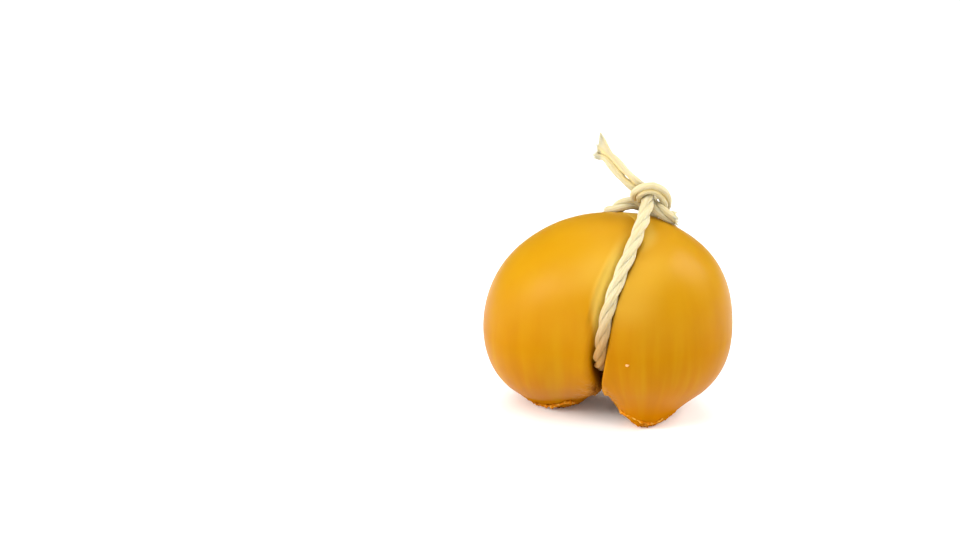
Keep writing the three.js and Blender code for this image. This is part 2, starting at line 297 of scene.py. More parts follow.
def closed_skin(rings):
    """Points of a closed surface over rings of points, with a pole in the middle of each end ring, and
    its faces in three arrays: the quads between the rings and the triangles round either pole."""
    count, around = rings.shape[:2]
    points = np.concatenate([rings[:1].mean(1), rings.reshape(-1, 3), rings[-1:].mean(1)])
    here = np.arange(around)
    after = (here + 1) % around
    ring = 1 + around * np.arange(count - 1)[:, None]
    quads = np.stack([ring + here, ring + around + here, ring + around + after, ring + after], -1)
    end = 1 + around * (count - 1)
    first_cap = np.stack([0 * here, 1 + here, 1 + after], -1)
    last_cap = np.stack([end + here, 0 * here + len(points) - 1, end + after], -1)
    return points, [quads.reshape(-1, 4), first_cap, last_cap]


def new_piece(name, points, faces, material, **attributes):
    """A smooth mesh object from points in millimetres and arrays of faces, with its material and its
    values at each point."""
    mesh = bpy.data.meshes.new(name)
    mesh.from_pydata((points * MM).tolist(), [], [face for block in faces for face in block.tolist()])
    mesh.polygons.foreach_set("use_smooth", np.ones(len(mesh.polygons), bool))
    for label, values in attributes.items():
        kind, field = ("FLOAT", "value") if values.ndim == 1 else ("FLOAT_VECTOR", "vector")
        stored = mesh.attributes.new(label, kind, "POINT")
        stored.data.foreach_set(field, values.astype(np.float32).ravel())
    mesh.materials.append(material)
    piece = bpy.data.objects.new(name, mesh)
    bpy.context.scene.collection.objects.link(piece)
    return piece


def linear(colour):
    """Linear RGBA from an sRGB hex colour."""
    srgb = np.array([int(colour[k:k + 2], 16) for k in (1, 3, 5)]) / 255
    return (*np.where(srgb <= 0.04045, srgb / 12.92, ((srgb + 0.055) / 1.055) ** 2.4), 1.0)


def add_node(tree, kind, sockets, **settings):
    """Adds one node: settings are its properties, sockets its inputs, each a value or a node's output."""
    made = tree.nodes.new(kind)
    for label, value in settings.items():
        setattr(made, label, value)
    for label, value in sockets.items():
        if isinstance(value, bpy.types.NodeSocket):
            tree.links.new(value, made.inputs[label])
        else:
            made.inputs[label].default_value = value
    return made


# Smoked curd: pulled in threads, so its amber skin is softly streaked towards the legs, satin and a
# little waxy. It is paler where the cord kept the smoke off, with a painted highlight in the same pale
# colour on the lips beside the groove, and deeper low down. It is dull and fibrous where it was torn,
# and its torn colours are darkened as painted shade for the cleft; the leg tips are coloured lighter as
# painted light thrown up from the floor. Real pores and torn fibres are too fine to show, so they are
# drawn about a millimetre wide.
SKIN_GOLD = "#ad7d06"
SKIN_AMBER = "#9e6500"
SKIN_RUST = "#ad6803"
STREAK_PALE = "#ad800e"
STREAK_DEEP = "#935b00"
BAND_AND_HIGHLIGHT_PALE = "#cbac4e"
# Torn curd in the cleft, darkened as painted shade.
TORN_SHADED_OCHRE = "#744509"
TORN_SHADED_PALE = "#986322"
# Leg tips and torn rims: a lighter orange as painted light from the floor, with pale specks of curd.
RIM_LIT_ORANGE = "#bb6d07"
RIM_PALE = "#dca548"
SHEEN_WARM = "#ffe6c0"
STREAK_MM = 6.5
STREAK_LENGTH_MM = 60.0
STREAK_ROUND_MM = 26.0
STREAK_RIDGE_MM = 0.3
MOTTLE_MM = 26.0
PORE_MM = 0.9
PORE_DEPTH_MM = 0.15
TORN_MM = 1.2
# Ranges of the noise over which the lines and specks come in, and the most that each is mixed in.
MOTTLE_SHARE = 0.7
PALE_LINES = (0.5, 0.75)
PALE_LINE_SHARE = 0.65
DEEP_LINES = (0.48, 0.25)
DEEP_LINE_SHARE = 0.6
TORN_SPECKS = (0.42, 0.66)
RIM_SPECKS = (0.52, 0.66)
SATIN_STREAKS = (0.3, 0.7)
SATIN_ROUGHNESS = (0.37, 0.45)
TORN_ROUGHER = 0.25
# Sockets of a Mix node that mixes colours: its share, its two colours and what comes out.
MIX_SHARE = 0
MIX_FROM = 6
MIX_TO = 7
MIXED = 2

curd_skin = bpy.data.materials.new("smoked_curd_skin")
curd_skin.use_nodes = True
tree = curd_skin.node_tree
shader = tree.nodes["Principled BSDF"]
place = add_node(tree, "ShaderNodeTexCoord", {}).outputs["Object"]
threads = add_node(tree, "ShaderNodeAttribute", {}, attribute_name="threads").outputs["Vector"]
pulled, smoke, rust, band, torn, rim, waxy = [
    add_node(tree, "ShaderNodeAttribute", {}, attribute_name=label).outputs["Fac"]
    for label in ("pulled", "smoke", "rust", "band", "torn", "rim", "waxy")
]
mottle = add_node(tree, "ShaderNodeTexNoise",
                  {"Vector": place, "Scale": 1 / (MOTTLE_MM * MM), "Detail": 2.0}).outputs["Fac"]
streak = add_node(tree, "ShaderNodeTexNoise",
                  {"Vector": threads, "Scale": 1.0, "Detail": 2.5, "Roughness": 0.55}).outputs["Fac"]
pores = add_node(tree, "ShaderNodeTexNoise",
                 {"Vector": place, "Scale": 1 / (PORE_MM * MM), "Detail": 3.0}).outputs["Fac"]
shreds = add_node(tree, "ShaderNodeTexNoise",
                  {"Vector": place, "Scale": 1 / (TORN_MM * MM), "Detail": 3.0}).outputs["Fac"]
mottled = add_node(tree, "ShaderNodeMath", {0: mottle, 1: MOTTLE_SHARE, 2: -MOTTLE_SHARE / 2},
                   operation="MULTIPLY_ADD").outputs[0]
smoked = add_node(tree, "ShaderNodeMath", {0: smoke, 1: mottled}, operation="ADD", use_clamp=True).outputs[0]
amber = add_node(tree, "ShaderNodeMix",
                 {MIX_SHARE: smoked, MIX_FROM: linear(SKIN_GOLD), MIX_TO: linear(SKIN_AMBER)},
                 data_type="RGBA").outputs[MIXED]
rusty = add_node(tree, "ShaderNodeMix", {MIX_SHARE: rust, MIX_FROM: amber, MIX_TO: linear(SKIN_RUST)},
                 data_type="RGBA").outputs[MIXED]
pale_line = add_node(tree, "ShaderNodeMapRange",
                     {"Value": streak, "From Min": PALE_LINES[0], "From Max": PALE_LINES[1],
                      "To Min": 0.0, "To Max": PALE_LINE_SHARE}).outputs[0]
pale_share = add_node(tree, "ShaderNodeMath", {0: pale_line, 1: pulled}, operation="MULTIPLY").outputs[0]
paler = add_node(tree, "ShaderNodeMix",
                 {MIX_SHARE: pale_share, MIX_FROM: rusty, MIX_TO: linear(STREAK_PALE)},
                 data_type="RGBA").outputs[MIXED]
deep_line = add_node(tree, "ShaderNodeMapRange",
                     {"Value": streak, "From Min": DEEP_LINES[0], "From Max": DEEP_LINES[1],
                      "To Min": 0.0, "To Max": DEEP_LINE_SHARE}).outputs[0]
deep_share = add_node(tree, "ShaderNodeMath", {0: deep_line, 1: pulled}, operation="MULTIPLY").outputs[0]
threaded = add_node(tree, "ShaderNodeMix",
                    {MIX_SHARE: deep_share, MIX_FROM: paler, MIX_TO: linear(STREAK_DEEP)},
                    data_type="RGBA").outputs[MIXED]
# Pale bands beside the cord and the painted highlight on its lips.
banded_and_lit = add_node(tree, "ShaderNodeMix", {MIX_SHARE: band, MIX_FROM: threaded, MIX_TO: linear(BAND_AND_HIGHLIGHT_PALE)},
                  data_type="RGBA").outputs[MIXED]
torn_speck = add_node(tree, "ShaderNodeMapRange",
                      {"Value": shreds, "From Min": TORN_SPECKS[0], "From Max": TORN_SPECKS[1],
                       "To Min": 0.0, "To Max": 1.0}).outputs[0]
# Torn colours, darkened as painted shade for the deep cleft.
shaded_flesh = add_node(tree, "ShaderNodeMix",
                 {MIX_SHARE: torn_speck, MIX_FROM: linear(TORN_SHADED_OCHRE), MIX_TO: linear(TORN_SHADED_PALE)},
                 data_type="RGBA").outputs[MIXED]
shredded = add_node(tree, "ShaderNodeMix", {MIX_SHARE: torn, MIX_FROM: banded_and_lit, MIX_TO: shaded_flesh},
                    data_type="RGBA").outputs[MIXED]
rim_speck = add_node(tree, "ShaderNodeMapRange",
                     {"Value": shreds, "From Min": RIM_SPECKS[0], "From Max": RIM_SPECKS[1],
                      "To Min": 0.0, "To Max": 1.0}).outputs[0]
# Rim colours: lighter orange as painted light from the floor, and pale specks.
lit_specks = add_node(tree, "ShaderNodeMix",
                  {MIX_SHARE: rim_speck, MIX_FROM: linear(RIM_LIT_ORANGE), MIX_TO: linear(RIM_PALE)},
                  data_type="RGBA").outputs[MIXED]
rimmed_and_lit = add_node(tree, "ShaderNodeMix", {MIX_SHARE: rim, MIX_FROM: shredded, MIX_TO: lit_specks},
                  data_type="RGBA").outputs[MIXED]
satin = add_node(tree, "ShaderNodeMapRange",
                 {"Value": streak, "From Min": SATIN_STREAKS[0], "From Max": SATIN_STREAKS[1],
                  "To Min": SATIN_ROUGHNESS[0], "To Max": SATIN_ROUGHNESS[1]}).outputs[0]
dull = add_node(tree, "ShaderNodeMath", {0: torn, 1: TORN_ROUGHER, 2: satin},
                operation="MULTIPLY_ADD").outputs[0]
ridges = add_node(tree, "ShaderNodeBump",
                  {"Height": streak, "Strength": 0.1, "Distance": STREAK_RIDGE_MM * MM}).outputs[0]
pitted = add_node(tree, "ShaderNodeBump",
                  {"Height": pores, "Strength": 0.05, "Distance": PORE_DEPTH_MM * MM,
                   "Normal": ridges}).outputs[0]
tree.links.new(rimmed_and_lit, shader.inputs["Base Color"])
tree.links.new(dull, shader.inputs["Roughness"])
tree.links.new(waxy, shader.inputs["Specular IOR Level"])
tree.links.new(pitted, shader.inputs["Normal"])
shader.inputs["IOR"].default_value = 1.45
shader.inputs["Specular Tint"].default_value = linear(SHEEN_WARM)
shader.inputs["Subsurface Weight"].default_value = 0.2
shader.inputs["Subsurface Radius"].default_value = (1.0, 0.45, 0.1)
shader.inputs["Subsurface Scale"].default_value = 2.0 * MM

# Where the skin changes. A pair is the range over which a share grows from none to all: Z is a height
# over the floor, DEPTH a depth past the ball's skin, ASIDE a distance from the cord's middle, and UP a
# height up the groove in sines. SHARE is the most that a change comes to.
# Walls of the cleft, a patch of painted shade low inside the left leg where the lobe turns away into
# the cleft, and the tips of the legs and their torn rims, which are coloured lighter as painted light
# thrown up from the floor.
CLEFT_DEPTH = (-0.6, 1.2)
NOTCH_NEARER = (-0.5, 1.5)
LEFT_SHADE_DEPTH = (-5.0, -1.2)
LEFT_SHADE_Z = (22.0, 16.0)
TIP_Z = (3.4, 0.6)
TIP_LIGHT_SHARE = 0.8
RIM_Z = (12.0, 8.0)
RIM_SHARE = 0.5
# Pale bands along the cord, and beyond them a painted highlight in the same pale colour on the lips.
# The left band widens upwards, and its edge fades over a range of its width.
LEFT_BAND_WIDTH = 3.8
LEFT_BAND_WIDENS = 6.0
LEFT_BAND_WIDENS_UP = (-0.15, 0.6)
LEFT_BAND_EDGE = (-1.0, -0.5)
LEFT_BAND_UP = (-0.4, 0.2)
LEFT_BAND_ENDS_UP = (0.99, 0.7)
LEFT_BAND_SHARE = 0.8
RIGHT_BAND_ASIDE = (8.0, 3.0)
RIGHT_BAND_UP = (0.7, 0.97)
RIGHT_BAND_SHARE = 0.4
LIPS_ASIDE = (22.0, 8.0)
LIPS_UP = (0.0, 0.35)
LEFT_LIP_HIGHER = 0.35
LIPS_END_UP = (0.97, 0.7)
LIP_HIGHLIGHT_SHARE = 0.2
# Wax shines on top and, less, on the bellies of the lobes. Streaks run up from the heels, and the skin
# turns deeper amber and redder downwards.
WAX_TOP_Z = (22.0, 60.0)
WAX_BELLY_Z = (6.0, 14.0)
WAX_BELLY_ENDS_Z = (46.0, 16.0)
WAX_BELLY_SHARE = 0.5
WAX_SHARE = 0.2
STREAKS_Z = (70.0, 16.0)
STREAKS_FROM_HEEL = (7.0, 26.0)
SMOKE_ALL_OVER = 0.1
DEEPER_DOWN_Z = (66.0, 30.0)
DEEPER_DOWN_SHARE = 0.7
REDDER_DOWN_Z = (32.0, 4.0)
REDDER_DOWN_SHARE = 0.8

points, faces = closed_skin(cheese_rings())
z = points[:, 2]
aside, _, height = beside_cord(points)
on_left = aside < 0
groove_depth = groove(points)
notch_depth = notch(points)
wall_depth = -np.minimum(groove_depth, notch_depth) - ball(points)
cleft_wall = ease(CLEFT_DEPTH, wall_depth)
# Painted shade: low inside the left leg, where the lobe turns away into the cleft, the skin takes the dark
# torn colours. The torn share below holds both the cleft's torn walls and this painted shade.
left_leg_shade = ease(LEFT_SHADE_DEPTH, wall_depth) * ease(LEFT_SHADE_Z, z) * on_left
torn_wall_and_shade = np.maximum(cleft_wall * ease(NOTCH_NEARER, groove_depth - notch_depth), left_leg_shade)
# Painted light: the leg tips and the torn rims along the notch are coloured lighter, for the light that the
# white floor throws up on them; their pale specks are the shredded curd's own.
torn_edge = torn_rim(under_skin(points), notch_depth) * ease(RIM_Z, z)
lit_shredded_rim = np.maximum(TIP_LIGHT_SHARE * ease(TIP_Z, z), RIM_SHARE * torn_edge)
band_width = LEFT_BAND_WIDTH + LEFT_BAND_WIDENS * ease(LEFT_BAND_WIDENS_UP, height)
left_band = ease(LEFT_BAND_EDGE, aside / band_width) * ease(LEFT_BAND_UP, height) * on_left
left_band = left_band * ease(LEFT_BAND_ENDS_UP, height)
right_band = ease(RIGHT_BAND_ASIDE, aside) * ease(RIGHT_BAND_UP, height) * ~on_left
above_lip = height - np.where(on_left, LEFT_LIP_HIGHER, 0.0)
# Painted highlight: a soft pale patch on the lips either side of the groove, starting higher on the left.
lip_highlight = ease(LIPS_ASIDE, np.abs(aside)) * ease(LIPS_UP, above_lip) * ease(LIPS_END_UP, height)
pale_band_and_highlight = np.max([LEFT_BAND_SHARE * left_band, RIGHT_BAND_SHARE * right_band, LIP_HIGHLIGHT_SHARE * lip_highlight], 0)
waxy_belly = WAX_BELLY_SHARE * ease(WAX_BELLY_Z, z) * ease(WAX_BELLY_ENDS_Z, z)
wax = WAX_SHARE * np.maximum(ease(WAX_TOP_Z, z), waxy_belly) * (1 - cleft_wall)
heel = np.where(on_left[:, None], LEFT_HEEL[0], RIGHT_HEEL[0])
from_heel = np.linalg.norm((points - heel)[:, :2], axis=1)
round_heel = np.arctan2(points[:, 1] - heel[:, 1], points[:, 0] - heel[:, 0])
thread_place = np.column_stack([np.cos(round_heel) * STREAK_ROUND_MM / STREAK_MM,
                                np.sin(round_heel) * STREAK_ROUND_MM / STREAK_MM, z / STREAK_LENGTH_MM])
cheese = new_piece("cheese_skin", points, faces, curd_skin, threads=thread_place,
                   pulled=ease(STREAKS_Z, z) * ease(STREAKS_FROM_HEEL, from_heel),
                   torn=torn_wall_and_shade, rim=lit_shredded_rim, band=pale_band_and_highlight,
                   smoke=SMOKE_ALL_OVER + DEEPER_DOWN_SHARE * ease(DEEPER_DOWN_Z, z), rust=REDDER_DOWN_SHARE * ease(REDDER_DOWN_Z, z),
                   waxy=wax)
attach(cheese, "root")
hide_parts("cheese")


# Torn shreds: two thin, ragged shreds of the same smoked curd, drawn out when the legs were torn off.
# They still hang along the rims of the legs, lumpy and tapering out at both ends.
LEFT_SHRED = np.array([
    (-26.7, -5.9, 2.6), (-24.7, -5.3, 1.8), (-21.4, -7.4, 2.4), (-18.7, -7.8, 3.0), (-15.9, -9.8, 4.5),
    (-13.4, -11.2, 6.0), (-11.4, -11.3, 6.2), (-10.2, -8.9, 5.2),
])
RIGHT_SHRED = np.array([
    (8.2, -20.3, 8.7), (9.2, -19.9, 7.3), (11.4, -21.1, 6.6), (13.6, -21.1, 5.6), (15.8, -20.5, 4.4),
    (17.9, -19.9, 3.6), (20, -18.5, 2.9), (22, -16.9, 3.0), (24.1, -15.9, 4.1),
])
# Half sizes of a shred, how uneven and tapered it is, its grid, the way it faces, and its smoke and wax.
SHRED_HALF_HEIGHT = 0.8
SHRED_HALF_THICKNESS = 0.5
SHRED_RAGGED = 0.3
SHRED_LUMPS = (0.2, 1.5)
SHRED_LUMP_STEPS = 3
SHRED_ENDS = (0.02, 0.98)
SHRED_STEPS = 60
SHRED_SIDES = 14
SHRED_FACES = np.array([0.1, -0.97, 0.2])
SHRED_SMOKE = 0.6
SHRED_WAX = 0.02
random = np.random.default_rng(7)


def smooth_line(points, steps):
    """A curve through points in equal steps: on each span a cubic with the slopes its neighbours give."""
    run = np.concatenate([2 * points[:1] - points[1:2], points, 2 * points[-1:] - points[-2:-1]])
    place = np.linspace(0, len(points) - 1, steps)
    k = np.minimum(place.astype(int), len(points) - 2)
    s = (place - k)[:, None]
    rise = 3 * s**2 - 2 * s**3
    slope = (run[2:] - run[:-2]) / 2
    return ((1 - rise) * points[k] + rise * points[k + 1]
            + (s - 2 * s**2 + s**3) * slope[k] + (s**3 - s**2) * slope[k + 1])


def shred_rings(route):
    """Rings round a shred's middle line: ellipses that stand flat on the leg, as high and thick as the
    square root of a half sine wave from end to end, with lumps along them and a ragged height."""
    middle = smooth_line(route, SHRED_STEPS)
    down = np.cross(SHRED_FACES, np.gradient(middle, axis=0))
    down /= np.linalg.norm(down, axis=1)[:, None]
    taper = np.sqrt(np.sin(np.pi * np.linspace(*SHRED_ENDS, SHRED_STEPS)))
    step = np.arange(SHRED_STEPS)
    lumps = np.interp(step, step[::SHRED_LUMP_STEPS],
                      random.uniform(*SHRED_LUMPS, SHRED_STEPS // SHRED_LUMP_STEPS))
    ragged = lumps[:, None] * (1 + SHRED_RAGGED * random.standard_normal((SHRED_STEPS, SHRED_SIDES)))
    turn = np.linspace(0, 2 * np.pi, SHRED_SIDES, endpoint=False)
    hang = (SHRED_HALF_HEIGHT * taper)[:, None] * ragged * np.sin(turn)
    stand = (SHRED_HALF_THICKNESS * taper * lumps)[:, None] * np.cos(turn)
    return middle[:, None] + hang[..., None] * down[:, None] + stand[..., None] * SHRED_FACES


for label, route in (("left_leg_shred", LEFT_SHRED), ("right_leg_shred", RIGHT_SHRED)):
    points, faces = closed_skin(shred_rings(route))
    same = np.ones(len(points))
    # The shreds take the lighter rim colours, painted light from the floor.
    shred = new_piece(label, points, faces, curd_skin, threads=points / STREAK_MM, pulled=0 * same,
                      torn=0 * same, rim=TIP_LIGHT_SHARE * same, band=0 * same, smoke=SHRED_SMOKE * same,
                      rust=REDDER_DOWN_SHARE * same, waxy=SHRED_WAX * same)
    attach(shred, "root")


# Crumb: a small crumb of curd that stuck to the right lobe while it was soft, and dried there.
# It is pale and matt, and mealy with fine grains.
CRUMB_TAN = "#c98b4f"
CRUMB_PALE = "#e4af78"
CRUMB_GRAIN_MM = 0.5
CRUMB_PLACE = np.array([13.4, -33.0, 31.0])
CRUMB_HALF = np.array([0.75, 0.4, 0.5])
CRUMB_RAGGED = 0.12
CRUMB_STEPS = 12
CRUMB_POLE = 0.1


def crumb_rings():
    """Rings of an ellipsoid about its height, from below upwards, with every point in or out at random."""
    turn = np.linspace(0, 2 * np.pi, CRUMB_STEPS, endpoint=False)
    polar = np.linspace(CRUMB_POLE, np.pi - CRUMB_POLE, CRUMB_STEPS)[:, None]
    level = np.sin(polar)
    rings = np.stack(np.broadcast_arrays(level * np.cos(turn), level * np.sin(turn), np.cos(polar)), -1)
    rings = rings * (1 + CRUMB_RAGGED * random.standard_normal(rings.shape[:2]))[..., None]
    return (CRUMB_PLACE + CRUMB_HALF * rings)[::-1]


dried_curd = bpy.data.materials.new("dried_curd_crumb")
dried_curd.use_nodes = True
tree = dried_curd.node_tree
shader = tree.nodes["Principled BSDF"]
place = add_node(tree, "ShaderNodeTexCoord", {}).outputs["Object"]
grains = add_node(tree, "ShaderNodeTexNoise",
                  {"Vector": place, "Scale": 1 / (CRUMB_GRAIN_MM * MM), "Detail": 2.0}).outputs["Fac"]
mealy = add_node(tree, "ShaderNodeMix",
                 {MIX_SHARE: grains, MIX_FROM: linear(CRUMB_TAN), MIX_TO: linear(CRUMB_PALE)},
                 data_type="RGBA").outputs[MIXED]
tree.links.new(mealy, shader.inputs["Base Color"])
shader.inputs["Roughness"].default_value = 0.7
crumb = new_piece("dried_crumb", *closed_skin(crumb_rings()), dried_curd)
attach(crumb, "root")


# Cord: twine of three plies laid in a right-handed twist, passed under the cheese and tied in a half knot.
# Its long end has come untwisted and goes in under the knot's arch, the plies are loose in the knot, and
# both ends are frayed where they were cut. From the arch to the short end it is one strand.
# Radii of the cord, of its strands in the knot, and of its long end, which is narrower behind the splay.
CORD_RADIUS = 2.55
KNOT_RADIUS = 2.45
TAIL_RADIUS = 2.8
TAIL_NECK = 2.25
# Lay of the plies: a ply's radius as a share of the cord's, laid and loose, the length of a turn, how far
# the arch is untwisted and its plies loose, where the first ply starts, and how far loose plies close up.
PLY_SHARE = 0.56
LOOSE_SHARE = 0.52
TWIST_PITCH = 27.7
UNTWISTED = 25.1
LOOSE_UNTIL = 0.7
FIRST_PLY = np.pi / 2
PLY_CLOSES = np.radians((0.0, 40.0, -40.0))
# Splay of the long end: its length, how far each ply spreads and swells, and how flat they get. Both ends
# are cut at a slant.
SPLAY_LENGTH = 5.5
SPLAY_SPREAD = (1.65, 2.4, 2.4)
SPLAY_SWELL = (2.9, 0.95, 0.95)
SPLAY_THIN = 0.7
LONG_CUT_SLANT = 0.6
SHORT_CUT_SLANT = 0.4
SHORT_CUT_LENGTH = 3.0
# Here the plies of the long end part a little: the place along it, half the slit's length, and how much.
SLIT_PLACE = 15.2
SLIT_HALF = 3.6
SLIT_THINS = 0.2
SLIT_PARTS = 0.12
# Route: the seat's angles in degrees, and points through the knot on top.
SEAT_START = 118.0
SEAT_END = 414.0
SEAT_STEP = 14.8
LONG_END_TIP = [(-3.8, 3.4, 102.1), (-0.5, 3.3, 99.3)]
LONG_END = [(2.1, 3.2, 96.6), (4.8, 2.8, 93.7), (8, 2.2, 90.7)]
LONG_END_TUCK = [(11.4, 3.4, 87.6), (13.6, 5.6, 84.6)]
ARCH_ROOT = [(10.6, 5.2, 82.6), (10.7, 2.2, 85.2)]
KNOT_ARCH = [
    (12.3, 0.2, 87.4), (14.6, 0.3, 88.5), (17.3, 1.4, 88.3), (19.7, 3.8, 86.2), (20.8, 7.1, 82.6),
    (20.2, 10.2, 78.7), (17.5, 12.2, 75.8), (13.9, 12.7, 75.9), (11, 11.9, 77.9), (8.2, 11, 79.4),
]
BACK_STRAND = [(5.1, 10.2, 78.5), (1.4, 11.1, 76.2)]
FRONT_STRAND = [(14.6, -11.6, 77.2), (15, -5.2, 79.6), (15.1, 0.6, 82.4)]
KNOT_FOLD = [
    (15.2, 5.6, 84.4), (15, 9.4, 85), (15, 12.9, 84.8), (15.1, 15.5, 83.4), (15.2, 15.4, 81.4),
    (15.4, 12.6, 80.4), (15.8, 8.4, 80.2), (18.1, 4.6, 79.3),
]
SHORT_END = [(21.3, 3.6, 77.7), (24.9, 3.9, 76)]
# Steps along the route and how it is eased, then the sides of a ply and the shallow ribs of its yarns.
CURVE_STEPS = 200
ROUTE_STEP = 1.9
EASING_PASSES = 6
EASING_SHARE = 0.1
STEP_MM = 0.45
PLY_SIDES = 36
RIB_COUNT = 9
RIB_HEIGHT = 0.03
RIB_PITCH = 30.0


def along(line):
    """Distance run along a line up to each of its points."""
    return np.concatenate([[0.0], np.cumsum(np.linalg.norm(np.diff(line, axis=0), axis=1))])


def strand_line(stretches):
    """A strand's middle line and its radius from stretches of route points, each with a radius: the
    route's curve at even steps, each step eased towards the middle of its neighbours so that no bend is
    too tight, then drawn in fine steps."""
    route = np.concatenate([np.column_stack([points, np.full(len(points), radius)])
                            for points, radius in stretches])
    both = smooth_line(route, CURVE_STEPS * len(route))
    run = along(both[:, :3])
    even = np.linspace(0, run[-1], round(run[-1] / ROUTE_STEP) + 1)
    both = np.column_stack([np.interp(even, run, column) for column in both.T])
    for _ in range(EASING_PASSES):
        both[1:-1, :3] += EASING_SHARE * ((both[:-2, :3] + both[2:, :3]) / 2 - both[1:-1, :3])
    both = smooth_line(both, round(run[-1] / STEP_MM))
    return both[:, :3], both[:, 3]


def carried_frame(line):
    """Directions ahead, across and over at each point of a line. The one across starts towards +Y and is
    carried along without rolling: at each point it loses what it has of the direction ahead."""
    ahead = np.gradient(line, axis=0)
    ahead /= np.linalg.norm(ahead, axis=1)[:, None]
    across = [np.array([0.0, 1.0, 0.0])]
    for direction in ahead:
        side = across[-1] - direction * (across[-1] @ direction)
        across.append(side / np.linalg.norm(side))
    across = np.array(across[1:])
    return ahead, across, np.cross(ahead, across)


def cord_route():
    """The main strand's stretches: the arch of the knot, down the back, round in the seat, up the front and
    through the knot to the short end."""
    degrees = np.arange(SEAT_START, SEAT_END + 1, SEAT_STEP)
    angle = np.radians(degrees)
    radius = seat_at(degrees, 2)
    seat = np.column_stack([seat_at(degrees, 1), AXIS_Y - radius * np.cos(angle),
                            AXIS_Z + radius * np.sin(angle)])
    return [(ARCH_ROOT + KNOT_ARCH, KNOT_RADIUS), (BACK_STRAND, CORD_RADIUS), (seat, CORD_RADIUS),
            (FRONT_STRAND, CORD_RADIUS), (KNOT_FOLD, KNOT_RADIUS), (SHORT_END, CORD_RADIUS)]


# Natural-fibre twine: pale, matt and slightly silky, with fibres that run along each ply and shade its
# colour. Low down it is coloured tan as painted shade and painted orange reflection from the deep groove,
# and the creases between the plies are coloured brighter and warmer as painted light, standing for the
# warm light that the fibres pass on into them. Real fibres are too fine to show, so they are drawn a third
# of a millimetre wide.
FIBRE_CREAM = "#c1b899"
FIBRE_STRAW = "#b5a67a"
FIBRE_CREASE_LIGHT = "#d4bd80"
FIBRE_SHADED_TAN = "#946d36"
FIBRE_MM = 0.35
FIBRE_LENGTH_MM = 9.0
FIBRE_RELIEF_MM = 0.2
STRAW_FIBRES = (0.35, 0.7)
# Painted shade and painted orange reflection: tan low down, where the cord lies deep in the groove.
GROOVE_SHADE_Z = (62.0, 32.0)

twine = bpy.data.materials.new("natural_fibre_twine")
twine.use_nodes = True
tree = twine.node_tree
shader = tree.nodes["Principled BSDF"]
lay = add_node(tree, "ShaderNodeAttribute", {}, attribute_name="lay").outputs["Vector"]
stain, crease = [
    add_node(tree, "ShaderNodeAttribute", {}, attribute_name=label).outputs["Fac"]
    for label in ("stain", "crease")
]
fibres = add_node(tree, "ShaderNodeTexNoise",
                  {"Vector": lay, "Scale": 1.0, "Detail": 3.0, "Roughness": 0.6}).outputs["Fac"]
straw = add_node(tree, "ShaderNodeMapRange",
                 {"Value": fibres, "From Min": STRAW_FIBRES[0], "From Max": STRAW_FIBRES[1],
                  "To Min": 0.0, "To Max": 1.0}).outputs[0]
bleached = add_node(tree, "ShaderNodeMix",
                    {MIX_SHARE: straw, MIX_FROM: linear(FIBRE_CREAM), MIX_TO: linear(FIBRE_STRAW)},
                    data_type="RGBA").outputs[MIXED]
creased = add_node(tree, "ShaderNodeMix",
                   {MIX_SHARE: crease, MIX_FROM: bleached, MIX_TO: linear(FIBRE_CREASE_LIGHT)},
                   data_type="RGBA").outputs[MIXED]
# Tan low down: painted shade and orange reflection from the groove.
stained = add_node(tree, "ShaderNodeMix", {MIX_SHARE: stain, MIX_FROM: creased, MIX_TO: linear(FIBRE_SHADED_TAN)},
                   data_type="RGBA").outputs[MIXED]
combed = add_node(tree, "ShaderNodeBump",
                  {"Height": fibres, "Strength": 0.5, "Distance": FIBRE_RELIEF_MM * MM}).outputs[0]
tree.links.new(stained, shader.inputs["Base Color"])
tree.links.new(combed, shader.inputs["Normal"])
shader.inputs["Roughness"].default_value = 0.62
shader.inputs["Specular IOR Level"].default_value = 0.3
shader.inputs["Subsurface Weight"].default_value = 0.6
shader.inputs["Subsurface Radius"].default_value = (1.0, 0.8, 0.4)
shader.inputs["Subsurface Scale"].default_value = 2.2 * MM

# Creases between the plies: the share of painted light in them, a brighter and warmer colour against the
# shade that falls there, and the sides of a ply that they are on, as the cosine of the angle to the cord's
# middle. The shifts give plies and frayed fibres patterns of their own.
CREASE_LIGHT_SHARE = 0.75
CREASE_SIDES = (0.0, 0.5)
PLY_SHIFT = 40.0
FRAY_SHIFT = 50.0
# Frayed ends: fibres for each ply, their thickness and taper, how deep inside they start, how near the
# ply's edge they come, how far they fan out and bend, and their lengths past the cut.
FRAY_COUNT = 34
FRAY_STEPS = 6
FRAY_SIDES = 5
FRAY_RADIUS = 0.2
FRAY_TAPER = 0.8
FRAY_INSIDE = 1.5
FRAY_EDGE = 0.9
FRAY_FAN = 0.3
FRAY_BEND = 0.18
FRAY_SIDE_GUIDE = (0.3, 0.9, 0.1)
FRAY_BACK_STEPS = 6
FRAY_LONG_END = (0.3, 1.7)
FRAY_SHORT_END = (0.5, 1.9)


